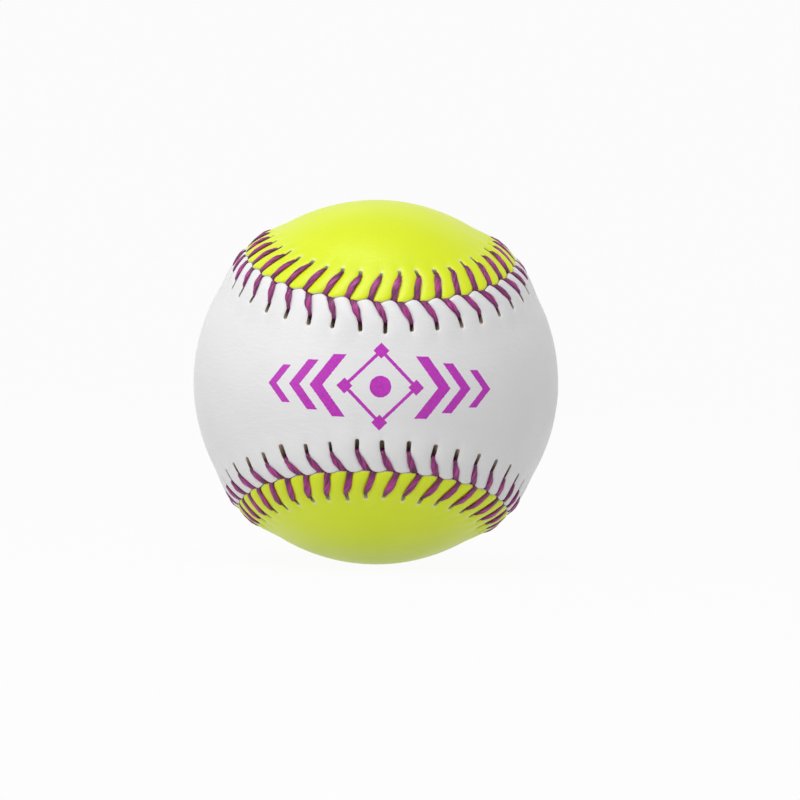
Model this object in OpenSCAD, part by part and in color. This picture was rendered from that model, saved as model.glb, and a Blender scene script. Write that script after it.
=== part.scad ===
// Softball: a moulded core, a skin of cement and a cover of two figure-eight
// leather panels that two threads sew together edge to edge.
// Millimetres, +Z up, origin at the centre of the ball. The waist of the white
// panel faces -Y and its lobes wrap over -X and +X. The waist of the yellow
// panel faces +Y and its lobes wrap over +Z and -Z.

/* [Ball] */
// Circumference of the ball over the smooth leather
ball_circumference = 254; // [228:1:305]
// Thickness of the cement skin on the core
cement_t = 0.3; // [0.2:0.05:0.6]

/* [Leather] */
// Thickness of the leather
leather_t = 1.4; // [1.1:0.05:1.8]
// Angle at the centre of the ball between a waist's middle and its seam
waist_half_angle = 26; // [24:0.5:29]
// Third harmonic of the seam, which fills out the lobes
lobe_share = 0.47; // [0.42:0.01:0.5]
// Gap between the two leather edges, midway between stitches
seam_gap = 0.3; // [0.2:0.05:0.5]
// How far each edge is drawn back where a stitch dives
edge_notch = 0.35; // [0.3:0.05:0.5]
// How far the leather puffs up between stitches
pucker_h = 0.5; // [0.2:0.05:0.7]
// Distance from the seam to the crest of the puffed leather
crest_reach = 2.2; // [1.8:0.1:2.8]
// Width of the slope from the slits down to the smooth leather
slope_w = 2.2; // [1.6:0.1:2.6]

/* [Stitches] */
// Stitches along the edge of each panel
stitch_count = 88; // [76:2:96]
// Distance from the seam to the near end of a slit in the white panel
white_slit_near = 4.2; // [3.8:0.1:5]
// Length of a slit in the white panel, which the thread leaves mostly open
white_slit_length = 2.8; // [1.6:0.1:3.4]
// Distance from the seam to the near end of a slit in the yellow panel
yellow_slit_near = 5.8; // [5:0.1:6.4]
// Length of a slit in the yellow panel
yellow_slit_length = 1.8; // [1.2:0.1:2.8]
// How far a stitch runs forward from its slit to the seam, in pitches
slant_share = 0.42; // [0.3:0.01:0.5]
// How far a yellow stitch meets the seam ahead of a white one, in pitches
lead_share = 0.26; // [0.24:0.01:0.32]
// How far the stitches stray from even spacing round the ball, in pitches
stray_share = 0.15; // [0:0.01:0.2]

/* [Thread] */
// Width of the flattened thread in the middle of a stitch
thread_w = 1.4; // [1:0.05:1.5]
// Thickness of the thread in the middle of a stitch
thread_t = 0.7; // [0.5:0.05:0.8]
// Play between the thread and what it passes
thread_play = 0.05; // [0.04:0.01:0.08]

/* [Hidden] */

// The thread is drawn thinner at its slit, in the seam and under the leather
slit_w_share = 0.6;
slit_t_share = 0.7;
seam_w_share = 0.84;
seam_t_share = 0.72;
under_w_share = 0.64;
under_t_share = 0.64;

ball_r = ball_circumference / (2 * PI);
// A flat facet of the panels dips this share of the radius below the sphere
facet_dip_share = 0.0072;
bedding = ball_r * facet_dip_share + thread_play;
cement_r = ball_r - leather_t - bedding;
core_play = 0.05;
core_r = cement_r - cement_t - core_play;

// The seam is a closed curve on a unit sphere: the edge of both panels
waist_c = (1 - lobe_share) / tan(waist_half_angle);
seam_steps = 720;
function unit(a) = a / norm(a);
function seam_dir(s) =
    unit([-sin(s) - lobe_share * sin(3 * s), -waist_c * cos(2 * s), cos(s) - lobe_share * cos(3 * s)]);
function seam_step(i) = norm(seam_dir(360 * (i + 1) / seam_steps) - seam_dir(360 * i / seam_steps));
// Seam angle against the distance run along the seam
seam_table = [for (i = 0, run = 0; i <= seam_steps; run = run + seam_step(i), i = i + 1)
    [run, 360 * i / seam_steps]];
seam_run = seam_table[seam_steps][0];
pitch = seam_run * ball_r / stitch_count;

// Seam angle after q stitches
function seam_angle(q) = lookup((q / stitch_count - floor(q / stitch_count)) * seam_run, seam_table);
function seam_tangent(s) = unit(seam_dir(s + 1) - seam_dir(s - 1));
// Direction q stitches along the seam and v across it, v above zero on the white side
function beside(q, v) =
    let (s = seam_angle(q), a = v / ball_r * 180 / PI)
    seam_dir(s) * cos(a) + unit(cross(seam_dir(s), seam_tangent(s))) * sin(a);

// Each side of the seam: its sign, where its slits start, their length, and where its stitches
// meet the seam
white_meet_share = 0.44;
white = [1, white_slit_near, white_slit_length, white_meet_share];
yellow = [-1, yellow_slit_near, yellow_slit_length, white_meet_share + lead_share];
function sign_of(side) = side[0];
function near_of(side) = side[1];
function far_of(side) = side[1] + side[2];
function meet_of(side) = side[3];
function leave_of(side) = side[3] - slant_share;
// Place of stitch k along the seam, in stitches: they lie a little closer on the +X half
function place(k) = k - stray_share * cos(360 * k / stitch_count);
// Where the line of stitch k lies at a distance v from the seam
function stitch_line(side, k, v) = place(k) + meet_of(side) - slant_share * v / near_of(side);

// Thread under the leather: it runs straight, so it stands off by the curve's height
under_t = thread_t * under_t_share;
seam_v = edge_notch * lead_share;
function hole_v(side) = near_of(side) + thread_play + thread_t * slit_t_share / 2;
function chord_rise(from, to) =
    let (along = (1 + leave_of(to) - meet_of(from)) * pitch, across = seam_v + hole_v(to))
    (along * along + across * across) / (8 * cement_r);
function under_r(from, to) = cement_r + thread_play + chord_rise(from, to) + under_t / 2;

// Heights of the underside of the leather over the cement, from the seam to the slope
tunnel_h = max(chord_rise(white, yellow), chord_rise(yellow, white)) + under_t + 3 * thread_play;
edge_rise = 2 * thread_play;
edge_pucker_share = 0.7;
slit_end_share = 0.5;
function lifted(h) = cement_r + h + leather_t;
edge_low_r = lifted(tunnel_h + edge_rise);
edge_high_r = edge_low_r + pucker_h * edge_pucker_share;
crest_low_r = edge_low_r;
crest_high_r = crest_low_r + pucker_h;
slit_near_r = lifted(tunnel_h);
slit_far_r = ball_r + (slit_near_r - ball_r) * slit_end_share;

slit_w = thread_w * slit_w_share + 2 * thread_play;

// Rings that fill a panel between its slope and its spine, and the stations on each
filling_rings = 3;
stations = 56;
axis_station = 5;
// Stations run along the spine a little faster near the waist, level with the seam
waist_rate_share = 0.15;
function spine_run(turn) = cos(360 * turn) * (1 + waist_rate_share * pow(sin(360 * turn), 2));
// The spine reaches over the ball so that one of its stations lies on the axis
spine_end = 90 / spine_run(axis_station / stations);

// The spine of a panel runs through its waist and ends in its lobes
function spine_dir(side, i) =
    let (a = spine_end * spine_run(i / stations))
    sign_of(side) > 0 ? [-sin(a), -cos(a), 0] : [0, cos(a), sin(a)];

// Rings start at the end of a lobe: its place in stitches, and the stitch nearest to it
function tip_of(side) = sign_of(side) > 0 ? stitch_count / 4 : 0;
function first_of(side) = floor(tip_of(side));

// Rings with two points to a stitch: under its thread, and midway to the next
function pillow_ring(side, v_low, v_high, r_low, r_high) =
    [for (i = [0 : stitch_count - 1], high = [0, 1])
        let (v = high ? v_high : v_low, q = stitch_line(side, first_of(side) + i, v) + high / 2)
        beside(q, sign_of(side) * v) * (high ? r_high : r_low)];
// Rings with two points to a stitch: the two sides of its slit
function slit_ring(side, v, r) =
    [for (i = [0 : stitch_count - 1], turn = [-1, 1])
        let (q = place(first_of(side) + i) + leave_of(side))
        unit(beside(q, sign_of(side) * v) * ball_r + seam_tangent(seam_angle(q)) * turn * slit_w / 2) * r];
// The foot of the slope, at a turn round the panel from zero to one
function slope_dir(side, turn) =
    beside(tip_of(side) + turn * stitch_count, sign_of(side) * (far_of(side) + slope_w));
function slope_ring(side, r) =
    [for (i = [0 : stitch_count - 1]) slope_dir(side, i / stitch_count) * r];
function filling_ring(side, ring, r) =
    [for (i = [0 : stations - 1])
        let (share = ring / (filling_rings + 1))
        unit(slope_dir(side, i / stations) * (1 - share) + spine_dir(side, i) * share) * r];

// One face of the leather, outer when drop is zero and under it when drop is the thickness
function skin_rings(side, drop) = concat(
    [pillow_ring(side, seam_gap / 2 + edge_notch, seam_gap / 2, edge_low_r - drop, edge_high_r - drop)],
    drop > 0 ? [] : [pillow_ring(side, crest_reach, crest_reach, crest_low_r, crest_high_r)],
    [slit_ring(side, near_of(side), slit_near_r - drop),
    slit_ring(side, far_of(side), slit_far_r - drop),
    slope_ring(side, ball_r - drop)],
    [for (ring = [1 : filling_rings]) filling_ring(side, ring, ball_r - drop)],
    [[for (i = [0 : stations / 2]) spine_dir(side, i) * (ball_r - drop)]]);

function joined(lists) = [for (list = lists, item = list) item];
function starts(rings) = [for (i = 0, n = 0; i < len(rings); n = n + len(rings[i]), i = i + 1) n];
function flipped(faces) = [for (f = faces) [f[0], f[2], f[1]]];

// Triangles between two rings of na and nb points that start at a and b
function strip(a, na, b, nb) = concat(
    [for (i = [0 : na - 1]) [a + i, a + (i + 1) % na, b + round((i + 0.5) * nb / na) % nb]],
    [for (j = [0 : nb - 1]) [b + (j + 1) % nb, b + j, a + ceil((j + 0.5) * na / nb - 0.5) % na]]);
// The same between two rings with an opening at every stitch
function slit_strip(a, b) =
    [for (i = [1 : 2 : 2 * stitch_count - 1])
        let (j = (i + 1) % (2 * stitch_count))
        each [[a + i, a + j, b + j], [b + j, b + i, a + i]]];
function quad(a, b, c, d) = [[a, b, c], [a, c, d]];
// A quad split along its shorter diagonal
function even_quad(p, a, b, c, d) =
    norm(p[a] - p[c]) < norm(p[b] - p[d]) ? quad(a, b, c, d) : quad(b, c, d, a);
// Quads between two rings of stations, or between the last ring and the spine, which it folds onto
function station_strip(p, a, b) =
    [for (i = [0 : stations - 1]) each even_quad(p, a + i, a + (i + 1) % stations,
        b + (i + 1) % stations, b + i)];
function spine_strip(p, a, b) =
    [for (i = [0 : stations - 1]) each even_quad(p, a + i, a + (i + 1) % stations,
        b + min(i + 1, stations - i - 1), b + min(i, stations - i))];
// The four walls of every slit, between its corners on the outer and the under face
function slit_walls(near, far, under_near, under_far) =
    [for (i = [0 : 2 : 2 * stitch_count - 2]) each concat(
        quad(under_near + i + 1, under_near + i, near + i, near + i + 1),
        quad(under_far + i, under_far + i + 1, far + i + 1, far + i),
        quad(under_near + i, under_far + i, far + i, near + i),
        quad(under_far + i + 1, under_near + i + 1, near + i + 1, far + i + 1))];

// Faces of one skin, from its ring of slits inwards
function inner_faces(p, at, n, slit) = let (slope = slit + 2, last = slope + filling_rings) concat(
    slit_strip(at[slit], at[slit + 1]),
    joined([for (i = [slope - 1 : slope]) strip(at[i], n[i], at[i + 1], n[i + 1])]),
    joined([for (i = [slope + 1 : last - 1]) station_strip(p, at[i], at[i + 1])]),
    spine_strip(p, at[last], at[last + 1]));

module panel(side) {
    outer = skin_rings(side, 0);
    under = skin_rings(side, leather_t);
    at = starts(concat(outer, under));
    n = [for (ring = concat(outer, under)) len(ring)];
    u = len(outer);
    points = joined(concat(outer, under));
    faces = concat(
        strip(at[0], n[0], at[1], n[1]),
        strip(at[1], n[1], at[2], n[2]),
        inner_faces(points, at, n, 2),
        flipped(strip(at[u], n[u], at[u + 1], n[u + 1])),
        flipped(inner_faces(points, at, n, u + 1)),
        strip(at[u], n[u], at[0], n[0]),
        slit_walls(at[2], at[3], at[u + 1], at[u + 2]));
    polyhedron(points, sign_of(side) > 0 ? flipped(faces) : faces);
}

// Half a stitch of one thread: up through the slit, over the leather and down the seam.
// Each point is a place along and across the seam, a radius, a width and a thickness.
function stitch_path(side, other, k) =
    let (s = sign_of(side), w = thread_w, t = thread_t,
        leave = place(k) + leave_of(side), meet = place(k) + meet_of(side))
    [[leave, s * hole_v(side), under_r(other, side), w * slit_w_share, under_t],
    [leave, s * hole_v(side), slit_near_r + thread_play + t * slit_t_share / 2,
        w * slit_w_share, t * slit_t_share],
    [stitch_line(side, k, crest_reach), s * crest_reach, crest_low_r + thread_play + t / 2, w, t],
    [meet, s * seam_v, edge_low_r + thread_play + t * seam_t_share / 2,
        w * seam_w_share, t * seam_t_share],
    [meet, s * seam_v, under_r(side, other), w * under_w_share, under_t]];

module thread(first) {
    path = [for (k = [0 : stitch_count - 1])
        each (k % 2 == first ? stitch_path(white, yellow, k) : stitch_path(yellow, white, k))];
    count = len(path);
    middles = [for (p = path) beside(p[0], p[1]) * p[2]];
    points = [for (i = [0 : count - 1])
        let (here = middles[i],
            before = unit(here - middles[(i + count - 1) % count]),
            after = unit(middles[(i + 1) % count] - here),
            heading = unit(before + after),
            mitre = 1 / max(heading * after, 0.5),
            along = seam_tangent(seam_angle(path[i][0])),
            wide = unit(along - heading * (along * heading)),
            thick = cross(wide, heading) * mitre)
        each [here + wide * path[i][3] / 2, here + thick * path[i][4] / 2,
            here - wide * path[i][3] / 2, here - thick * path[i][4] / 2]];
    faces = [for (i = [0 : count - 1], j = [0 : 3])
        let (a = 4 * i, b = 4 * ((i + 1) % count), m = (j + 1) % 4)
        each quad(a + j, a + m, b + m, b + j)];
    polyhedron(points, faces);
}

module core() {
    color([0.85, 0.78, 0.62])
        sphere(r = core_r, $fn = 96);
}

module cement_skin() {
    color([0.72, 0.58, 0.36])
        difference() {
            sphere(r = cement_r, $fn = 96);
            sphere(r = cement_r - cement_t, $fn = 96);
        }
}

module white_panel() {
    color([0.93, 0.92, 0.89])
        panel(white);
}

module yellow_panel() {
    color([0.82, 0.90, 0.22])
        panel(yellow);
}

module first_thread() {
    color([0.50, 0.22, 0.48])
        thread(0);
}

module second_thread() {
    color([0.50, 0.22, 0.48])
        thread(1);
}

core();
cement_skin();
white_panel();
yellow_panel();
first_thread();
second_thread();
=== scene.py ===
import math

import bpy
import numpy as np
from mathutils import Matrix, Vector


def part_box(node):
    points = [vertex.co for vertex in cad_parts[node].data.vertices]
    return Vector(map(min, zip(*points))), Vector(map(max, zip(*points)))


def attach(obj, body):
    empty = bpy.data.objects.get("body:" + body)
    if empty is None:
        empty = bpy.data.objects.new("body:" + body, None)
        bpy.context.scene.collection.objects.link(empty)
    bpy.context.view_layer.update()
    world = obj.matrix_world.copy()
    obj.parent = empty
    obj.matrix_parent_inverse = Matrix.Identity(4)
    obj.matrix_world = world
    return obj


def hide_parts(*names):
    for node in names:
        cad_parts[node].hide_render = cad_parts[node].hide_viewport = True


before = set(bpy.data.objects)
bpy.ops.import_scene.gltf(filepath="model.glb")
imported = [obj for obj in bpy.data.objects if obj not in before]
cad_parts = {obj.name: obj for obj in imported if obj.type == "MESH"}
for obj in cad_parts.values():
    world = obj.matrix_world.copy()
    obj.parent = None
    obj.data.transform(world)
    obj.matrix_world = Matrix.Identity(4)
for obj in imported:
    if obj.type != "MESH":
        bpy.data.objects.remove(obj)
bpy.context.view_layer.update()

# The core is a ball of polyurethane foam, poured and cured in a round mould. Its closed skin
# is matte and faintly pocked. The frame holds its shape, so it only gets its finish here.
MM = 0.001
foam_colour = (0.85, 0.78, 0.62)
foam_low_colour, foam_high_colour = (0.80, 0.71, 0.54), (0.90, 0.84, 0.70)
foam_pock = 1.6 * MM
foam_pock_depth = 0.08 * MM


def painted(colour):
    """A colour as a designer picks it on screen, as the shader's linear colour."""
    linear = [c / 12.92 if c <= 0.04045 else ((c + 0.055) / 1.055) ** 2.4 for c in colour]
    return (*linear, 1.0)


def new_finish(name, colour, roughness, **sockets):
    """A new finish of one plain shader: (finish, shader)."""
    finish = bpy.data.materials.new(name)
    finish.use_nodes = True
    shader = finish.node_tree.nodes["Principled BSDF"]
    shader.inputs["Base Color"].default_value = painted(colour)
    shader.inputs["Roughness"].default_value = roughness
    for socket, value in sockets.items():
        shader.inputs[socket.replace("_", " ").title().replace("Ior", "IOR")].default_value = value
    return finish, shader


def step(finish, kind, inputs, **settings):
    """Adds one step to a finish. An input is a number, a colour or another step's output."""
    node = finish.node_tree.nodes.new("ShaderNode" + kind)
    for setting, value in settings.items():
        setattr(node, setting, value)
    for socket, value in inputs.items():
        if isinstance(value, bpy.types.NodeSocket):
            finish.node_tree.links.new(value, node.inputs[socket])
        else:
            node.inputs[socket].default_value = value
    return node


def feed(finish, shader, socket, output):
    """Leads a step's output into one of the shader's sockets."""
    finish.node_tree.links.new(output, shader.inputs[socket])


def maths(finish, operation, a, b=0.0, c=0.0):
    """One sum on a finish's numbers, and its result."""
    return step(finish, "Math", {0: a, 1: b, 2: c}, operation=operation).outputs[0]


def mottle(finish, place, size, detail=2.0, rough=0.5):
    """Soft patches of about that size, from 0 to 1."""
    inputs = {"Vector": place, "Scale": 1 / size, "Detail": detail, "Roughness": rough}
    return step(finish, "TexNoise", inputs).outputs["Fac"]


def blended(finish, share, first, second):
    """A colour that goes from the first to the second as share goes from 0 to 1."""
    inputs = {"Factor": share, 6: first, 7: second}
    return step(finish, "Mix", inputs, data_type="RGBA").outputs[2]


def emboss(finish, shader, height, depth, under=None):
    """Presses a height pattern into a finish, over another pattern if there is one."""
    inputs = {"Height": height, "Distance": depth, "Strength": 1.0}
    if under is not None:
        inputs["Normal"] = under
    bump = step(finish, "Bump", inputs).outputs["Normal"]
    feed(finish, shader, "Normal", bump)
    return bump


def on_the_ball(finish):
    """Places on the piece itself, in metres from the middle of the ball."""
    return step(finish, "TexCoord", {}).outputs["Object"]


def dress(node, finish):
    """Gives one of the frame's own solids its finish."""
    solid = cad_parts[node]
    solid.data.materials.clear()
    solid.data.materials.append(finish)


foam, foam_shader = new_finish("moulded_foam", foam_colour, roughness=0.7)
foam_pocks = mottle(foam, on_the_ball(foam), foam_pock, detail=4.0, rough=0.6)
foam_tint = blended(foam, foam_pocks, painted(foam_low_colour), painted(foam_high_colour))
feed(foam, foam_shader, "Base Color", foam_tint)
emboss(foam, foam_shader, foam_pocks, foam_pock_depth)
dress("core", foam)

# A skin of latex cement is brushed over the core just before the cover goes on, and it
# holds the leather down. It dries tacky and streaky, and shows at the bottom of each slit.
cement_thick_colour, cement_thin_colour = (0.52, 0.43, 0.32), (0.76, 0.69, 0.57)
cement_streak = 2.5 * MM
cement_streak_depth = 0.05 * MM
cement, cement_shader = new_finish("latex_cement", cement_thick_colour, roughness=0.5)
cement_streaks = mottle(cement, on_the_ball(cement), cement_streak, detail=5.0, rough=0.65)
cement_tint = blended(cement, cement_streaks, painted(cement_thick_colour), painted(cement_thin_colour))
feed(cement, cement_shader, "Base Color", cement_tint)
emboss(cement, cement_shader, cement_streaks, cement_streak_depth)
dress("cement_skin", cement)

# The seam is where the two cover panels meet edge to edge: one closed curve round the ball,
# 88 stitches long. All that follows is placed by stitches along it and millimetres across it.
leather_t = 1.4 * MM
thread_play = 0.05 * MM
facet_dip_share = 0.0072
cement_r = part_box("cement_skin")[1].x
ball_r = (cement_r + leather_t + thread_play) / (1 - facet_dip_share)
waist_half_angle = math.radians(26)
lobe_share = 0.47
waist_c = (1 - lobe_share) / math.tan(waist_half_angle)
stitch_count = 88
seam_samples = 7200
tangent_reach = 0.01


def unit(a):
    """Directions of length one."""
    return a / np.linalg.norm(a, axis=-1, keepdims=True)


def seam_dir(s):
    """The seam's direction from the middle of the ball, at the seam angle s."""
    x = -np.sin(s) - lobe_share * np.sin(3 * s)
    y = -waist_c * np.cos(2 * s)
    z = np.cos(s) - lobe_share * np.cos(3 * s)
    return unit(np.stack([x, y, z], -1))


seam_angles = np.linspace(0, 2 * math.pi, seam_samples + 1)
seam_steps = np.linalg.norm(np.diff(seam_dir(seam_angles), axis=0), axis=1)
seam_runs = np.concatenate([[0], np.cumsum(seam_steps)])
pitch = seam_runs[-1] * ball_r / stitch_count


def seam_angle(q):
    """The seam angle q stitches along the seam."""
    return np.interp((q / stitch_count) % 1 * seam_runs[-1], seam_runs, seam_angles)


def seam_tangent(q):
    """The way in which the seam runs q stitches along it."""
    s = seam_angle(q)
    return unit(seam_dir(s + tangent_reach) - seam_dir(s - tangent_reach))


def beside(q, v):
    """The direction q stitches along the seam and v across it, above zero on the white side."""
    along = seam_dir(seam_angle(q))
    across = unit(np.cross(along, seam_tangent(q)))
    turn = (v / ball_r)[..., None]
    return along * np.cos(turn) + across * np.sin(turn)


def eased(x):
    """A rise from 0 to 1 that starts and ends level."""
    x = np.clip(x, 0, 1)
    return x * x * (3 - 2 * x)


# Each cover panel is a figure eight of leather, die cut, punched with a slit for every stitch
# and sewn while damp. The thread draws its edge up into pillows, one between each two stitches.
drift_share = 0.15
near_unevenness, near_luck = 0.25, 0.16 * MM
length_unevenness, length_luck = 0.6, 0.24 * MM
width_luck_share, puff_luck_share = 0.14, 0.08
bend_luck = 0.16 * MM
dice = np.random.default_rng(88)
slant_share = 0.42
slant_bend = 0.9 * MM
white_meet_share = 0.44
yellow_meet_share = 0.70

# The edge sways where the stitches pull it, is notched where they dive, and is cut square below
# its rounded rim. Its profile, from the bottom up, is distances from the edge and depths.
seam_gap = 0.11 * MM
edge_sway = 0.27 * MM
sway_unevenness = 1.6
sway_start_share, sway_fall_share = 0.34, 0.44
edge_notch = 0.36 * MM
notch_half_share = 0.13
edge_settle_w = 3 * MM
edge_round_w, edge_round_t = 0.85 * MM, 0.38 * MM
cut_rows, round_rows, rows_to_slit = 5, 8, 10
edge_profile = [(0.1 * MM, leather_t), (0.0, leather_t - 0.15 * MM), (0.0, leather_t - 0.5 * MM)]
for angle in np.linspace(0, math.pi / 2, round_rows):
    edge_profile.append((edge_round_w * (1 - math.cos(angle)), edge_round_t * (1 - math.sin(angle))))

# The pillows between the stitches, and the valleys that the thread lies in
pillow_h, pillow_start = 1.08 * MM, 2 * MM
valley_h, valley_start = 0.52 * MM, 3 * MM
pillow_reach = 11.5 * MM
pillow_fullness = 2.3
thread_bed = 0.4 * MM
hide_unevenness = 0.05 * MM
band_w = 12.5 * MM
even_margin = 1 * MM

# The slits: their lips, their rounded ends, how they close past the thread, and the rows and
# columns of points that the leather has along them and between them
rim_drop, rim_w, rim_fade = 0.14 * MM, 0.13 * MM, 0.3 * MM
slit_end_share, slit_start_share = 1.3, 0.8
floor_narrowing = 0.45
mouth_share, mouth_rise_share = 0.45, 0.41
mouth_w, mouth_lead_share = 0.25 * MM, 0.3
neck_share, neck_w = 0.8, 0.5 * MM
closed_half_w, closing_w = 0.12 * MM, 0.3 * MM
least_half_w = 0.03 * MM
far_wall_slope = 0.7 * MM
under_starts = (0.45 * MM, 2.4 * MM)
slit_rows, past_slit_rows, past_slit_crowding = 16, 8, 1.6
slit_passes = (1 - np.cos(np.linspace(0, math.pi, slit_rows))) / 2
half_columns = 8
stitch_columns = 2 * half_columns
column_crowding, middle_share = 1.5, 0.4
settling_rounds = 3

# How clean the cut leather is (wax stain and painted shade in the slits), and how far the paler patch past
# a slit reaches
under_clean, edge_clean, slit_clean_unshaded = 0.4, 0.9, 0.85
paler_reach, paler_rows = 0.42 * MM, 3


def drift(q):
    """How far the stitches stray from even spacing, q stitches along the seam."""
    return -drift_share * np.cos(2 * math.pi * q / stitch_count)


class Panel:
    """One side of the seam: its sign, where its stitches lie, over what share of an arm the
    thread swells to its full width, how far the wax stain and painted shade run along a slit,
    each slit's luck, and the stitch at the tip of a lobe, from which the points of the leather are counted."""

    def __init__(self, sign, near, length, meet, slit_width, swell, stain_and_shade_run):
        self.sign, self.meet, self.swell, self.stain_and_shade_run = sign, meet, swell, stain_and_shade_run
        near = near * (1 - near_unevenness * drift(np.arange(stitch_count)))
        length = length * (1 + length_unevenness * drift(np.arange(stitch_count)))
        self.near = near + dice.normal(0, near_luck, stitch_count)
        self.far = near + length + dice.normal(0, length_luck, stitch_count)
        self.half_w = slit_width / 2 * (1 + dice.normal(0, width_luck_share, stitch_count))
        self.bend = dice.normal(0, bend_luck, stitch_count)
        self.puff = 1 + dice.normal(0, puff_luck_share, stitch_count)
        self.tip = stitch_count // 4 if sign > 0 else 0


white_side = Panel(
    sign=1, near=4.2 * MM, length=2.8 * MM, meet=white_meet_share, slit_width=1.06 * MM,
    swell=0.45, stain_and_shade_run=2.0)
yellow_side = Panel(
    sign=-1, near=5.8 * MM, length=1.8 * MM, meet=yellow_meet_share, slit_width=0.92 * MM,
    swell=0.2, stain_and_shade_run=1.8)


def lean(v, near):
    """How far a stitch has gone from the seam to its slit, from 0 to 1, with a soft end."""
    over = np.clip((v - near + slant_bend) / (2 * slant_bend), 0, 1)
    straight = np.minimum(v, near - slant_bend)
    return (straight + 2 * slant_bend * (over - over * over / 2)) / near


def stitch_line(side, k, v):
    """Where the line of stitch k lies at a distance v from the seam, in stitches."""
    index = k % stitch_count
    near = side.near[index]
    past = np.clip((v - near) / (side.far[index] - near), 0, 1)
    bend = side.bend[index] * np.sin(past * math.pi / 2) / pitch
    return k + side.meet + drift(k) - slant_share * lean(v, near) + bend


def local_pitch(side, q, v):
    """The length of one stitch at a distance v from the seam."""
    ahead, behind = beside(q + 0.5, side.sign * v), beside(q - 0.5, side.sign * v)
    return np.linalg.norm(ahead - behind, axis=-1) * ball_r


def slit_half(side, k, v, depth):
    """Half the width between the two lips of slit k: open along the slit, narrower at the bottom
    of its far end, and drawn shut past it."""
    index = k % stitch_count
    near, far, half = side.near[index], side.far[index], side.half_w[index]
    past = np.clip((v - near) / (far - near), 0, 1)
    blunt = 1 - np.clip(1 - (far - v) / (slit_end_share * half), 0, 1) ** 2
    body = half * (slit_start_share + (1 - slit_start_share) * eased(past))
    body = body * np.sqrt(np.clip(blunt, 0, 1))
    body = body * (1 - floor_narrowing * (depth / leather_t) * eased(past * 2))
    mouth = mouth_share + mouth_rise_share * eased((v - near) / mouth_w + mouth_lead_share)
    opened = np.minimum(body, np.maximum(half * mouth, closed_half_w))
    beyond = closed_half_w * eased((v - far) / closing_w) + least_half_w
    neck = half * neck_share
    before = neck + (opened - neck) * eased(1 - (near - v) / neck_w)
    shape = np.where(v < near, before, opened)
    return np.where(v > far, beyond, np.maximum(shape, least_half_w))


def seam_sway(q):
    """How far the meeting line of the two edges strays to the white side, q stitches along."""
    turn = (q - drift(q) - sway_start_share) % 1
    falling = turn / sway_fall_share
    rising = 1 + (turn - sway_fall_share) / (1 - sway_fall_share)
    turn = np.where(turn < sway_fall_share, falling, rising) / 2
    return edge_sway * (1 - sway_unevenness * drift(q)) * np.cos(2 * math.pi * turn)


def edge_of(side, q):
    """The distance of a panel's own edge from the seam, drawn back where its threads dive."""
    off = (q - side.meet - drift(q) + 0.5) % 1 - 0.5
    notch = edge_notch * np.exp(-((off / notch_half_share) ** 2))
    return seam_gap / 2 + side.sign * seam_sway(q) + notch


def valley(v):
    """How high the leather stands under a thread, at a distance v from the seam."""
    return valley_h * (1 - eased((v - valley_start) / (pillow_reach - valley_start)))


class Columns:
    """The columns of points round a panel. For each: the stitch before it, the stitch nearest
    to it, whether it is past that one, and how far it has come from one stitch to the next."""

    def __init__(self):
        shares = (np.arange(half_columns) / (half_columns - middle_share)) ** column_crowding / 2
        self.before = np.repeat(np.arange(stitch_count), stitch_columns)
        self.is_past = np.tile(np.repeat([True, False], half_columns), stitch_count)
        self.nearest = np.where(self.is_past, self.before, self.before + 1)
        self.passed = np.tile(np.concatenate([shares, 1 - shares[::-1]]), stitch_count)
        self.count = len(self.passed)


columns = Columns()


def between(side, values):
    """A fact of each slit, carried over smoothly from one slit to the next."""
    blend = eased(columns.passed)
    here = (side.tip + columns.before) % stitch_count
    ahead = (side.tip + columns.before + 1) % stitch_count
    return values[here] * (1 - blend) + values[ahead] * blend


def column_place(side, v, depth):
    """Where each column of points crosses the distance v from the seam: its place along the seam,
    the distance from one stitch to the next, half the near slit's width, and how far off it is."""
    before, after = side.tip + columns.before, side.tip + columns.before + 1
    start, end = stitch_line(side, before, v), stitch_line(side, after, v)
    stride = local_pitch(side, (start + end) / 2, v) * (end - start)
    half_before, half_after = slit_half(side, before, v, depth), slit_half(side, after, v, depth)
    along = half_before + (stride - half_before - half_after) * columns.passed
    half = np.where(columns.is_past, half_before, half_after)
    off = np.where(columns.is_past, along, stride - along)
    return start + (end - start) * along / stride, stride, half, off


def leather_row(side, v, depth, from_edge=False):
    """The points of one row of the leather, at a depth below its outer face: v from the seam, or
    from the panel's own edge, which it then follows less and less."""
    reach = v
    for _ in range(settling_rounds):
        q, stride, half, off = column_place(side, v, depth)
        if from_edge:
            v = reach + edge_of(side, q) * (1 - eased(reach / edge_settle_w))
    even = side.tip + (np.arange(columns.count) + 0.5) / stitch_columns
    far = between(side, side.far)
    q = q + (even - q) * eased((v - far - even_margin) / (band_w - even_margin - side.far.max()))
    puff = side.puff[(side.tip + columns.before) % stitch_count]
    high = pillow_h * puff * (1 - eased((v - pillow_start) / (pillow_reach - pillow_start)))
    low = valley(v)
    across = np.clip((off - thread_bed) / (stride / 2 - thread_bed), 0, 1)
    height = low + (high - low) * (1 - (1 - across) ** pillow_fullness)
    index = (side.tip + columns.nearest) % stitch_count
    from_near, to_far = (v - side.near[index]) / rim_fade, (side.far[index] - v) / rim_fade
    along_slit = eased(from_near + 0.5) * eased(to_far + 1)
    height = height - rim_drop * np.exp(-(((off - half) / rim_w) ** 2)) * along_slit
    return beside(q, side.sign * v) * (ball_r + height - depth)[:, None]


# The wide field of each panel, from the band beside the seam to the midline of the figure
# eight, with the slow waves of a hide that is never quite even
halvings, halving_share = 3, 0.03
filling_rows = 10
spine_swell, lobe_middle_turn = 0.15, 5 / 56
wave_count, shortest_wave, longest_wave = 9, 6 * MM, 19 * MM
sharp_angle = math.radians(50)


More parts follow.
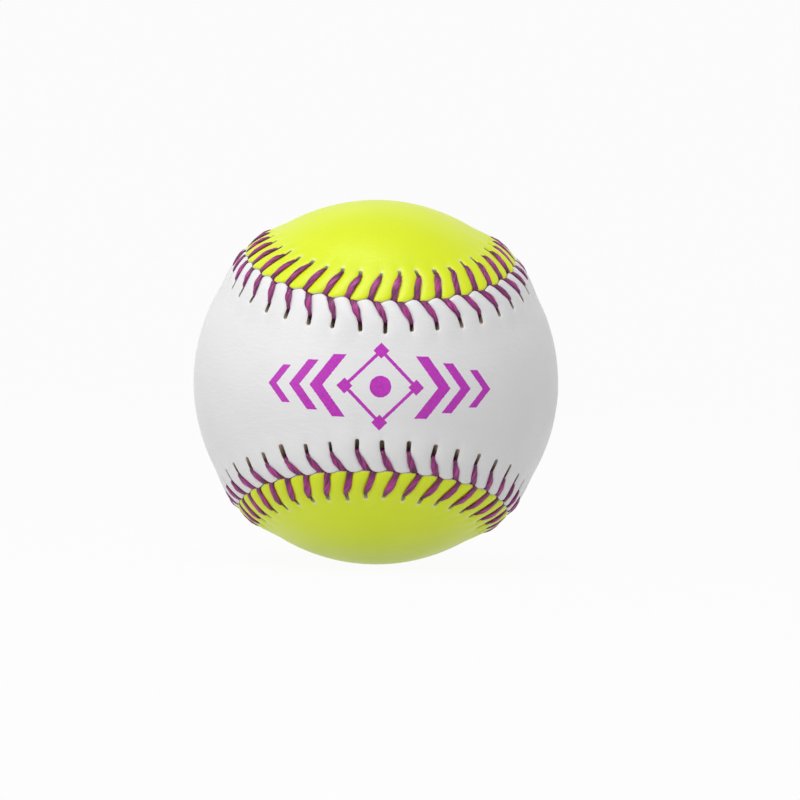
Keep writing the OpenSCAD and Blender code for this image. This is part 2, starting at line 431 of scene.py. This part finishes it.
def spine_dir(side, turn):
    """The midline of a panel, through its waist and both lobes, at the place that faces its rim
    there: turn goes once round the rim from a lobe's tip, from 0 to 1."""
    def swing(t):
        return np.cos(2 * math.pi * t) * (1 + spine_swell * np.sin(2 * math.pi * t) ** 2)

    a = math.pi / 2 / swing(lobe_middle_turn) * swing(turn)
    zero = np.zeros_like(a)
    if side.sign > 0:
        return np.stack([-np.sin(a), -np.cos(a), zero], -1)
    return np.stack([zero, np.cos(a), np.sin(a)], -1)


def face_list(*corners):
    """Faces from the numbers of their points, one row of numbers for each corner."""
    return [tuple(face) for face in np.stack(corners, 1).tolist()]


def strip_faces(a, b, keep=slice(None)):
    """Quads between two closed rows of as many points, or only those that keep allows."""
    return face_list(a[keep], np.roll(a, -1)[keep], np.roll(b, -1)[keep], b[keep])


def halving_faces(a, b):
    """Faces from a closed row to one of half as many points."""
    even, odd, next_even, next_b = a[::2], a[1::2], np.roll(a, -2)[::2], np.roll(b, -1)
    return face_list(even, odd, next_b, b) + face_list(odd, next_even, next_b)


def row_faces(rows, first_slit):
    """Faces between the rows beside the seam, left open between the two lips of each slit."""
    uncut = np.arange(columns.count) % stitch_columns != stitch_columns - 1
    faces = []
    for i in range(len(rows) - 1):
        in_slit = first_slit <= i < first_slit + slit_rows - 1
        faces += strip_faces(rows[i], rows[i + 1], uncut if in_slit else slice(None))
    return faces


def skin(side, rows, depth, first):
    """One face of the leather, from its rows beside the seam to its spine: its points, the faces
    past those rows, and the numbers of its points row by row, counted from first."""
    rows = list(rows)
    band_rows = len(rows)
    ring = unit(rows[-1])
    shares = [halving_share * (i + 1) for i in range(halvings)]
    for i in range(1, filling_rows + 1):
        shares.append(shares[halvings - 1] + (1 - shares[halvings - 1]) * i / (filling_rows + 1))
    for i, share in enumerate(shares):
        if i < halvings:
            ring = ring[::2]
        spine = spine_dir(side, np.arange(len(ring)) / len(ring))
        rows.append(unit(ring * (1 - share) + spine * share) * (ball_r - depth))
    rows.append(spine[:len(ring) // 2 + 1] * (ball_r - depth))
    ends = first + np.cumsum([len(row) for row in rows])
    numbered = [np.arange(end - len(row), end) for row, end in zip(rows, ends)]
    faces = []
    for a, b in zip(numbered[band_rows - 1:], numbered[band_rows:-1]):
        faces += halving_faces(a, b) if len(b) < len(a) else strip_faces(a, b)
    # Both halves of the last ring end at the same points of the spine
    places = np.arange(len(ring))
    fold = numbered[-1][np.minimum(places, len(ring) - places)]
    for a, b, c, d in strip_faces(numbered[-2], fold):
        faces.append((a, b, c, d) if c != d else (a, b, c))
    return np.concatenate(rows), faces, numbered


wave_ways = unit(dice.normal(0, 1, (wave_count, 3)))
wave_lengths = dice.uniform(shortest_wave, longest_wave, wave_count)
wave_starts = dice.uniform(0, 2 * math.pi, wave_count)


def unevenness(points):
    """How far the hide stands above or below a true ball there: it is never quite even."""
    waves = np.sin(points @ (wave_ways / wave_lengths[:, None] * 2 * math.pi).T + wave_starts)
    return hide_unevenness * waves.mean(1)


def new_piece(name, points, faces, *finishes):
    """A new smooth object of those points and faces, with its finishes."""
    mesh = bpy.data.meshes.new(name)
    mesh.from_pydata(points, [], faces)
    for finish in finishes:
        mesh.materials.append(finish)
    mesh.shade_smooth()
    mesh.update()
    piece = bpy.data.objects.new(name, mesh)
    bpy.context.scene.collection.objects.link(piece)
    return piece


def mark_points(piece, fact, values, kind="FLOAT"):
    """Notes a number or a place at every point of a piece, for its finish to read."""
    field = "value" if kind == "FLOAT" else "vector"
    data = piece.data.attributes.new(fact, kind, "POINT").data
    data.foreach_set(field, values.astype(np.float32).ravel())


def slit_course(side):
    """Where the slits of a panel start and end at each column, and the distances from the seam
    of the rows along them, close together at both ends, and of the rows past them."""
    near, far = between(side, side.near), between(side, side.far)
    course = [near + (far - near) * past for past in slit_passes]
    for i in range(1, past_slit_rows + 1):
        course.append(far + (band_w - far) * (i / past_slit_rows) ** past_slit_crowding)
    return near, far, course


def slit_walls(lips, bottoms):
    """The walls of all slits, from the rows of their lips down to the rows of their bottoms."""
    left = np.arange(stitch_columns - 1, columns.count, stitch_columns)
    right = (left + 1) % columns.count
    walls = []
    for lip, next_lip, deep, next_deep in zip(lips, lips[1:], bottoms, bottoms[1:]):
        walls += face_list(lip[left], next_lip[left], next_deep[left], deep[left])
        walls += face_list(next_lip[right], lip[right], deep[right], next_deep[right])
    walls += face_list(lips[0][right], lips[0][left], bottoms[0][left], bottoms[0][right])
    walls += face_list(lips[-1][left], lips[-1][right], bottoms[-1][right], bottoms[-1][left])
    return walls


def sewn_panel(name, side, finishes):
    """One panel: its outer face, rounded edge, under face and the walls of its slits, with how clean the
    cut leather is (wax stain and painted shade in the slits) and where it turns paler past each slit marked
    on its points."""
    near, far, course = slit_course(side)
    all_round = np.zeros(columns.count)
    outer = [leather_row(side, all_round + v, depth, from_edge=True) for v, depth in edge_profile]
    for i in range(1, rows_to_slit + 1):
        v = edge_round_w + (near - edge_round_w) * i / (rows_to_slit + 1)
        outer.append(leather_row(side, v, 0.0, from_edge=True))
    first_slit = len(outer)
    outer += [leather_row(side, v, 0.0) for v in course]
    under = [leather_row(side, all_round + v, leather_t, from_edge=True) for v in under_starts]
    first_under_slit = len(under)
    for v in course[:slit_rows]:
        under.append(leather_row(side, v - far_wall_slope * (v - near) / (far - near), leather_t))
    under.append(leather_row(side, all_round + band_w, leather_t))

    outer_points, outer_faces, top = skin(side, outer, 0.0, 0)
    outer_points = outer_points * (1 + unevenness(outer_points) / ball_r)[:, None]
    under_points, under_faces, low = skin(side, under, leather_t, len(outer_points))
    points = np.concatenate([outer_points, under_points])
    cut_start = len(outer_faces)
    outer_faces += row_faces(top[:len(outer)], first_slit)
    under_faces += row_faces(low[:len(under)], first_under_slit)
    lips = top[first_slit:first_slit + slit_rows]
    bottoms = low[first_under_slit:first_under_slit + slit_rows]
    faces = outer_faces + [face[::-1] for face in under_faces]
    faces += strip_faces(low[0], top[0]) + slit_walls(lips, bottoms)
    if side.sign < 0:
        faces = [face[::-1] for face in faces]

    # The first finish covers the outer face, and the second all that is cut or underneath
    piece = new_piece(name, points.tolist(), faces, *finishes)
    finish_numbers = np.zeros(len(faces), dtype=np.int32)
    finish_numbers[len(outer_faces):] = 1
    finish_numbers[cut_start:cut_start + cut_rows * columns.count] = 1
    piece.data.polygons.foreach_set("material_index", finish_numbers)
    clean_unshaded_share = np.full(len(points), under_clean)
    clean_unshaded_share[np.concatenate(top[:cut_rows + 1])] = edge_clean
    # In the slits the cut leather darkens towards the thread: partly its wax stain, partly painted shade of
    # the thread and the deep, narrow slit
    for past, lip, bottom in zip(slit_passes, lips, bottoms):
        clean_unshaded_share[lip] = slit_clean_unshaded * past ** side.stain_and_shade_run
        clean_unshaded_share[bottom] = slit_clean_unshaded * past ** side.stain_and_shade_run
    mark_points(piece, "clean_unshaded_share", clean_unshaded_share)
    # Just past the far end of each slit the leather is made paler
    paler_past_slit = np.zeros(len(points))
    slit_ends = side.far[(side.tip + columns.nearest) % stitch_count]
    for i in range(slit_rows - 1 - paler_rows, slit_rows + paler_rows):
        off = column_place(side, course[i], 0.0)[-1]
        away = np.hypot(course[i] - slit_ends, off)
        paler_past_slit[top[first_slit + i]] = np.exp(-((away / paler_reach) ** 2))
    mark_points(piece, "paler_past_slit", paler_past_slit)
    piece.data.set_sharp_from_angle(angle=sharp_angle)
    piece.data.update()
    return piece


# The leather's own finish: a fine grain, faint wrinkles and a slightly uneven dye
dye_patch, wrinkle_size, grain_size = 9 * MM, 0.75 * MM, 0.42 * MM
wrinkle_stretch = (0.3, 0.3, 1.0)
leather_low_rough, leather_high_rough = 0.32, 0.46
leather_specular = 0.42
paler_share = 0.75

# Its cut and under side: felty, darker in the slits from the thread's wax stain and painted shade
fibre_size, fibre_depth = 0.4 * MM, 0.06 * MM
stain_and_shade_raggedness, stain_and_shade_offset = 1.2, -0.62

# The badge on the white waist: a diamond, its four bases and three chevrons to each side
diamond_r, diamond_line_half, base_r, plate_r = 7.6 * MM, 0.5 * MM, 1.7 * MM, 2.3 * MM
chevron_count, chevron_slope, first_tip, tip_step = 3, 0.75, 13.6 * MM, 4.6 * MM
chevron_half_w, chevron_half_w_step = 1.35 * MM, 0.25 * MM
chevron_half_h, chevron_half_h_step = 6.6 * MM, 1.3 * MM
print_edge_grain, print_raggedness = 0.35 * MM, 0.16 * MM
ink_speckle, ink_dark_share = 0.45 * MM, 0.86


def leather_finish(name, light, shade, pale_colour, wrinkle_depth, grain_depth):
    """Satin leather, paler just past the far end of each slit.
    Gives back the finish, its shader and the step that colours it."""
    finish, shader = new_finish(name, light, roughness=0.5, specular_ior_level=leather_specular)
    place = on_the_ball(finish)
    patches = mottle(finish, place, dye_patch, detail=3.0, rough=0.55)
    tint = blended(finish, patches, painted(light), painted(shade))
    paler_past_slit = step(finish, "Attribute", {}, attribute_name="paler_past_slit").outputs["Fac"]
    tint = blended(finish, maths(finish, "MULTIPLY", paler_past_slit, paler_share), tint, painted(pale_colour))
    feed(finish, shader, "Base Color", tint)
    satin = {"Value": patches, "To Min": leather_low_rough, "To Max": leather_high_rough}
    feed(finish, shader, "Roughness", step(finish, "MapRange", satin).outputs[0])
    squeezed = step(finish, "Mapping", {"Vector": place, "Scale": wrinkle_stretch}).outputs[0]
    wrinkles = mottle(finish, squeezed, wrinkle_size, detail=3.0, rough=0.6)
    low = emboss(finish, shader, wrinkles, wrinkle_depth)
    grain = step(finish, "TexVoronoi", {"Vector": place, "Scale": 1 / grain_size}).outputs["Distance"]
    emboss(finish, shader, grain, grain_depth, low)
    return finish, shader, tint


def flesh_finish(name, stained_and_shaded, clean_and_unshaded):
    """The cut and under side of the leather: matte and felty, darker at one end of each slit from
    the thread's wax stain and painted shade of the thread and the slit, and clean at the other."""
    finish, shader = new_finish(name, clean_and_unshaded, roughness=0.9)
    fibres = mottle(finish, on_the_ball(finish), fibre_size, detail=4.0, rough=0.7)
    share = step(finish, "Attribute", {}, attribute_name="clean_unshaded_share").outputs["Fac"]
    ragged = maths(finish, "MULTIPLY_ADD", fibres, stain_and_shade_raggedness, stain_and_shade_offset)
    share = maths(finish, "ADD", share, ragged)
    share = step(finish, "Clamp", {"Value": share}).outputs[0]
    feed(finish, shader, "Base Color", blended(finish, share, painted(stained_and_shaded), painted(clean_and_unshaded)))
    emboss(finish, shader, fibres, fibre_depth)
    return finish


def printed(finish, shader, leather_tint, ink_colour):
    """Prints a made-up badge on the waist of the white panel: a diamond with its four bases and
    three chevrons to each side. Inside it the ink lies in the grain of the leather."""
    def less(a, b):
        return maths(finish, "LESS_THAN", a, b)

    def from_middle(value, middle):
        return maths(finish, "ABSOLUTE", maths(finish, "SUBTRACT", value, middle))

    place = on_the_ball(finish)
    ragged = mottle(finish, place, print_edge_grain)
    ragged = maths(finish, "MULTIPLY_ADD", ragged, print_raggedness, -print_raggedness / 2)
    spots = step(finish, "SeparateXYZ", {"Vector": place}).outputs
    aside = maths(finish, "ADD", maths(finish, "ABSOLUTE", spots["X"]), ragged)
    above = maths(finish, "ADD", maths(finish, "ABSOLUTE", spots["Z"]), ragged)
    round_out = maths(finish, "ADD", aside, above)
    shapes = [less(from_middle(round_out, diamond_r), diamond_line_half)]
    to_side, to_top = from_middle(aside, diamond_r), from_middle(above, diamond_r)
    shapes.append(less(maths(finish, "ADD", to_side, above), base_r))
    shapes.append(less(maths(finish, "ADD", aside, to_top), base_r))
    squared = [maths(finish, "POWER", distance, 2.0) for distance in (aside, above)]
    shapes.append(less(maths(finish, "ADD", *squared), plate_r ** 2))
    slanted = maths(finish, "MULTIPLY_ADD", above, chevron_slope, aside)
    for i in range(chevron_count):
        bar = less(from_middle(slanted, first_tip + tip_step * i), chevron_half_w - chevron_half_w_step * i)
        ends = less(above, chevron_half_h - chevron_half_h_step * i)
        shapes.append(maths(finish, "MULTIPLY", bar, ends))
    ink = shapes[0]
    for shape in shapes[1:]:
        ink = maths(finish, "MAXIMUM", ink, shape)
    ink = maths(finish, "MULTIPLY", ink, less(spots["Y"], 0.0))
    speckle = mottle(finish, place, ink_speckle, detail=3.0, rough=0.7)
    speckle = step(finish, "MapRange", {"Value": speckle, "From Min": 0.35, "From Max": 0.65}).outputs[0]
    dark = tuple(c * ink_dark_share for c in ink_colour)
    inked = blended(finish, speckle, painted(dark), painted(ink_colour))
    feed(finish, shader, "Base Color", blended(finish, ink, leather_tint, inked))


white_leather, white_shader, white_tint = leather_finish(
    "white_leather", light=(0.918, 0.917, 0.922), shade=(0.893, 0.891, 0.895),
    pale_colour=(0.93, 0.93, 0.93), wrinkle_depth=0.085 * MM, grain_depth=0.027 * MM)
printed(white_leather, white_shader, white_tint, ink_colour=(0.79, 0.18, 0.775))
white_flesh = flesh_finish("white_leather_cut_edge", stained_and_shaded=(0.44, 0.28, 0.26), clean_and_unshaded=(0.85, 0.80, 0.74))
white_panel = sewn_panel("white_leather_panel", white_side, [white_leather, white_flesh])
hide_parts("white_panel")
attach(white_panel, "root")

yellow_leather, *_ = leather_finish(
    "optic_yellow_leather", light=(0.878, 0.935, 0.115), shade=(0.848, 0.912, 0.09),
    pale_colour=(0.93, 0.94, 0.74), wrinkle_depth=0.03 * MM, grain_depth=0.017 * MM)
yellow_flesh = flesh_finish("yellow_leather_cut_edge", stained_and_shaded=(0.42, 0.29, 0.22), clean_and_unshaded=(0.93, 0.93, 0.80))
yellow_panel = sewn_panel("yellow_leather_panel", yellow_side, [yellow_leather, yellow_flesh])
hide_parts("yellow_panel")
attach(yellow_panel, "root")

# Two threads sew the panels together, each with its own needle. They are waxed, twisted from
# plies and pulled flat over the pillows, and each dives into the seam and up the next slit.
thread_w, thread_t = 1.42 * MM, 0.7 * MM
slit_w_share, slit_t_share = 0.6, 0.7
seam_w_share, seam_t_share = 0.9, 0.72
under_w_share, under_t_share = 0.64, 0.64
slit_w, slit_t = thread_w * slit_w_share, thread_t * slit_t_share
seam_w, seam_t = thread_w * seam_w_share, thread_t * seam_t_share
under_w, under_t = thread_w * under_w_share, thread_t * under_t_share
shrink_start_share, unshaded_start_share = 0.6, 0.3
seam_v = 0.091 * MM
dive_reach, dive_depth = 0.75 * MM, 0.55 * MM
under_r = cement_r + 0.335 * MM

# How many points each length of an arm has: up the slit, over its lip, over the pillow to the
# seam, over the edge, down the seam, and under the leather to the next slit
rise_points, lip_points, lay_points, edge_points, sink_points, under_points = 4, 5, 13, 5, 4, 5

# The stitches of a hand-sewn seam: on the yellow side they bow a little, and none is like another
yellow_bow, bow_luck, stout_luck = 0.25 * MM, 0.1 * MM, 0.06
ply_count, ply_groove_share = 4, 0.09
twist_length, thread_girth = 12 * MM, 3.4 * MM
flatness = 0.85
points_around = 24
smoothing_rounds = 2
middle_of_arm = 0.4

# Fine filaments that run with the twist, bright on the plies and with painted shade between them
thread_colour = (0.42, 0.12, 0.36)
thread_dark_colour, thread_light_colour = (0.30, 0.04, 0.225), (0.77, 0.23, 0.62)
thread_specular = 0.42
filament_size, filament_depth = 0.42 * MM, 0.25 * MM
filament_stretch = (1.0, 0.08, 1.0)
groove_shade, dive_painted_shade = 0.5, 0.62


def bed(v):
    """How high the underside of a thread lies at a distance v from the seam."""
    return valley(v) + thread_play


def arm_points(side, other, k, bow, stout):
    """Places of one arm of a stitch and of the run under the leather to the next slit, each with
    its width and thickness, and how unshaded it stays: painted shade darkens it where it dives."""
    near = side.near[k % stitch_count]
    hole = near + thread_play + slit_t / 2
    full_w = thread_w * stout
    low = under_r - ball_r
    places = []

    def put(v, height, width, thick, sideways=0.0, clean_and_unshaded=0.0):
        q = stitch_line(side, k, np.array(v)) + sideways / pitch
        radius = ball_r + height
        places.append((*(beside(np.array(q), np.array(side.sign * v)) * radius), width, thick, clean_and_unshaded))

    top = bed(near) + slit_t / 2
    for i in range(rise_points):
        put(hole, low + (top - dive_depth - low) * i / rise_points, slit_w, slit_t)
    for i in range(lip_points):
        a = math.pi / 2 * i / lip_points
        put(hole - dive_reach * (1 - math.cos(a)), top - dive_depth * (1 - math.sin(a)), slit_w, slit_t)
    start, end = hole - dive_reach, seam_v + dive_reach
    for i in range(lay_points):
        t = i / (lay_points - 1)
        v = start + (end - start) * t
        swell = eased(t / side.swell)
        shrink = eased((t - shrink_start_share) / (1 - shrink_start_share))
        width = slit_w + (full_w - slit_w) * swell - (full_w - seam_w) * shrink
        thick = slit_t + (thread_t - slit_t) * swell - (thread_t - seam_t) * shrink
        # Painted shade: the arm darkens towards both ends, where it dives into a hole or the seam
        clean_and_unshaded = eased(min(t, 1 - t) / unshaded_start_share)
        put(v, bed(v) + thick / 2, width, thick, bow * math.sin(math.pi * t), clean_and_unshaded)
    top = bed(end) + seam_t / 2
    for i in range(1, edge_points + 1):
        a = math.pi / 2 * i / edge_points
        put(end - dive_reach * math.sin(a), top - dive_depth * (1 - math.cos(a)), seam_w, seam_t)
    for i in range(1, sink_points + 1):
        share = i / sink_points
        height = top - dive_depth + (low - top + dive_depth) * share
        put(seam_v, height, seam_w + (under_w - seam_w) * share, seam_t + (under_t - seam_t) * share)
    other_hole = other.near[(k + 1) % stitch_count] + thread_play + slit_t / 2
    q = stitch_line(other, k + 1, np.array(other_hole))
    landing = beside(np.array(q), np.array(other.sign * other_hole)) * under_r
    last = np.array(places[-1][:3])
    for i in range(1, under_points + 1):
        point = last + (landing - last) * i / (under_points + 1)
        places.append((*point, under_w, under_t, 0.0))
    return places


def squared_off(wave):
    """A wave round the thread, made a little flatter at its crests."""
    return np.sign(wave) * np.abs(wave) ** flatness


def waxed_thread(name, first, finish):
    """One thread, as a closed run of 88 arms that take turns on the two panels."""
    run = []
    for k in range(stitch_count):
        on_white = k % 2 == first
        side, other = (white_side, yellow_side) if on_white else (yellow_side, white_side)
        bow = dice.normal(0.0 if on_white else yellow_bow, bow_luck)
        run += arm_points(side, other, k, bow, dice.normal(1.0, stout_luck))
    run = np.array(run)
    middles, widths, thicks, unshaded_shares = run[:, :3], run[:, 3:4], run[:, 4:5], run[:, 5:]
    for _ in range(smoothing_rounds):
        middles = middles * 0.5 + (np.roll(middles, 1, 0) + np.roll(middles, -1, 0)) * 0.25
        widths = widths * 0.5 + (np.roll(widths, 1, 0) + np.roll(widths, -1, 0)) * 0.25
    heading = unit(np.roll(middles, -1, 0) - np.roll(middles, 1, 0))
    per_arm = len(run) // stitch_count
    along = seam_tangent(np.arange(len(run)) / per_arm + middle_of_arm)
    wide = unit(along - heading * np.sum(along * heading, 1)[:, None])
    thick = np.cross(wide, heading)
    gone = np.concatenate([[0], np.cumsum(np.linalg.norm(np.diff(middles, axis=0), axis=1))])[:, None]
    turns = 2 * math.pi * np.arange(points_around) / points_around
    twist = 2 * math.pi * gone / twist_length
    crest = np.abs(np.cos(ply_count / 2 * (turns + twist)))
    lobes = 1 + ply_groove_share * (2 * crest - 1)
    x = squared_off(np.cos(turns)) * lobes * widths / 2
    y = squared_off(np.sin(turns)) * lobes * thicks / 2
    points = middles[:, None, :] + wide[:, None, :] * x[..., None] + thick[:, None, :] * y[..., None]
    numbers = np.arange(len(run) * points_around).reshape(len(run), points_around)
    ahead = np.roll(numbers, -1, 0)
    faces = np.stack([numbers, np.roll(numbers, -1, 1), np.roll(ahead, -1, 1), ahead], -1)
    piece = new_piece(name, points.reshape(-1, 3).tolist(), faces.reshape(-1, 4).tolist(), finish)
    girth = (turns + twist) / (2 * math.pi) * thread_girth
    lay = np.stack([girth, np.repeat(gone, points_around, 1), np.zeros_like(girth)], -1)
    mark_points(piece, "lay", lay, kind="FLOAT_VECTOR")
    mark_points(piece, "crest", crest)
    mark_points(piece, "clean_and_unshaded", np.repeat(unshaded_shares, points_around, 1))
    return piece


def thread_finish(name):
    """Waxed polyester: fine filaments that run with the twist, with painted shade in the grooves between
    the plies and at both ends of each arm, where it dives.
    """
    finish, shader = new_finish(name, thread_colour, roughness=0.36, specular_ior_level=thread_specular)
    lay = step(finish, "Attribute", {}, attribute_name="lay").outputs["Vector"]
    drawn = step(finish, "Mapping", {"Vector": lay, "Scale": filament_stretch}).outputs[0]
    filaments = mottle(finish, drawn, filament_size, detail=3.0, rough=0.65)
    ramp = step(finish, "MapRange", {"Value": filaments, "From Min": 0.36, "From Max": 0.64}).outputs[0]
    tint = blended(finish, ramp, painted(thread_dark_colour), painted(thread_light_colour))
    # Painted shade in the grooves between the plies
    crest = step(finish, "Attribute", {}, attribute_name="crest").outputs["Fac"]
    groove = {"Value": crest, "From Max": 0.5, "To Min": groove_shade}
    groove = step(finish, "MapRange", groove).outputs[0]
    # Painted shade where an arm dives into a hole or the seam
    clean_and_unshaded = step(finish, "Attribute", {}, attribute_name="clean_and_unshaded").outputs["Fac"]
    dive_shade = step(finish, "MapRange", {"Value": clean_and_unshaded, "To Min": dive_painted_shade}).outputs[0]
    shade = maths(finish, "MULTIPLY", groove, dive_shade)
    tint = step(finish, "VectorMath", {0: tint, 3: shade}, operation="SCALE").outputs[0]
    feed(finish, shader, "Base Color", tint)
    emboss(finish, shader, filaments, filament_depth)
    return finish


purple_thread = thread_finish("waxed_purple_thread")
for name, node, first in (
        ("first_waxed_thread", "first_thread", 0),
        ("second_waxed_thread", "second_thread", 1)):
    thread = waxed_thread(name, first, purple_thread)
    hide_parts(node)
    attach(thread, "root")

# The ball rests on a white sheet that sweeps up into a wall all round. The sheet gives off
# a painted glow of its own that lights the ball from below as well, and large soft lamps hang round it.
floor_z = -ball_r
floor_r, wall_r, wall_h = 1.3, 2.0, 2.6
middle_ring_share = 0.3
sweep_steps, floor_sides = 12, 96
paper_colour = (0.80, 0.80, 0.80)
paper_glow_share, paper_white_share = 0.25, 0.95
sky_strength = 0.32

sweep_r = wall_r - floor_r
floor_profile = [(floor_r * middle_ring_share, floor_z), (floor_r, floor_z)]
for i in range(1, sweep_steps + 1):
    a = math.pi / 2 * i / sweep_steps
    floor_profile.append((floor_r + sweep_r * math.sin(a), floor_z + sweep_r * (1 - math.cos(a))))
floor_profile.append((wall_r, wall_h))
floor_points, floor_faces = [], []
for i in range(floor_sides):
    a = 2 * math.pi * i / floor_sides
    floor_points += [(r * math.cos(a), r * math.sin(a), z) for r, z in floor_profile]
floor_points.append((0, 0, floor_z))
for i in range(floor_sides):
    here = i * len(floor_profile)
    there = (i + 1) % floor_sides * len(floor_profile)
    floor_faces.append((len(floor_points) - 1, here, there))
    for k in range(len(floor_profile) - 1):
        floor_faces.append((here + k, here + k + 1, there + k + 1, there + k))

paper, paper_shader = new_finish("glowing_white_sheet", paper_colour, roughness=0.9)
paper_path = step(paper, "LightPath", {}).outputs
seen = maths(paper, "MAXIMUM", paper_path["Is Camera Ray"], paper_path["Is Glossy Ray"])
seen = maths(paper, "MAXIMUM", seen, paper_path["Is Transmission Ray"])
# Painted glow: the sheet gives off a little light of its own to every ray, which lights the ball from below
glow_share = maths(paper, "MULTIPLY_ADD", seen, paper_white_share - paper_glow_share, paper_glow_share)
glow = step(paper, "Emission", {"Color": (1, 1, 1, 1), "Strength": 1.0}).outputs[0]
paper_mix = step(paper, "MixShader", {0: glow_share, 1: paper_shader.outputs[0], 2: glow})
feed(paper, paper.node_tree.nodes["Material Output"], "Surface", paper_mix.outputs[0])
floor = new_piece("floor", floor_points, floor_faces, paper)

world = bpy.data.worlds.new("studio")
bpy.context.scene.world = world
world.use_nodes = True
sky = world.node_tree.nodes["Background"]
sky.inputs["Color"].default_value = (1, 1, 1, 1)
sky.inputs["Strength"].default_value = sky_strength


def lamp(name, place, size, power):
    """A large soft lamp that faces the ball."""
    light = bpy.data.lights.new(name, "AREA")
    light.shape = "RECTANGLE"
    light.size, light.size_y = size
    light.energy = power
    holder = bpy.data.objects.new(name, light)
    holder.location = place
    holder.rotation_mode = "QUATERNION"
    holder.rotation_quaternion = (-Vector(place)).to_track_quat("-Z", "Y")
    bpy.context.scene.collection.objects.link(holder)


lamp("top_softbox", place=(-0.25, -0.45, 1.1), size=(0.9, 0.9), power=9.3)
lamp("left_softbox", place=(-1.0, -0.7, 0.35), size=(0.8, 0.8), power=2.8)
lamp("front_softbox", place=(0.4, -1.15, 0.12), size=(0.5, 0.3), power=0.45)

# The camera stands where the photograph was taken from: a long lens, a little above the
# middle of the ball and turned a little to its side.
image_side = 800
ball_middle_px = (376.0, 382.2)
ball_radius_px = 182.3
camera_far = 20.0 * ball_r
sensor_w = 36.0
nearest_seen, farthest_seen = 0.01, 10.0
ball_turn = Vector((0.0230, 0.0297, 0.0235))
focal_px = ball_radius_px * math.sqrt((camera_far / ball_r) ** 2 - 1)
camera_data = bpy.data.cameras.new("camera")
camera_data.sensor_width = sensor_w
camera_data.lens = focal_px * sensor_w / image_side
camera_data.clip_start, camera_data.clip_end = nearest_seen, farthest_seen
camera = bpy.data.objects.new("camera", camera_data)
round_the_ball = Matrix.Rotation(ball_turn.length, 3, ball_turn).transposed()
aim_aside = (ball_middle_px[0] - image_side / 2) / focal_px
aim_above = (image_side / 2 - ball_middle_px[1]) / focal_px
level = Matrix(((1, 0, 0), (0, 0, -1), (0, 1, 0)))
aim = Matrix.Rotation(aim_aside, 3, "Y") @ Matrix.Rotation(-aim_above, 3, "X")
camera_turn = round_the_ball @ level @ aim
camera_place = round_the_ball @ Vector((0, -camera_far, 0))
camera.matrix_world = Matrix.Translation(camera_place) @ camera_turn.to_4x4()
bpy.context.scene.collection.objects.link(camera)
bpy.context.scene.camera = camera
bpy.context.scene.view_settings.view_transform = "Standard"
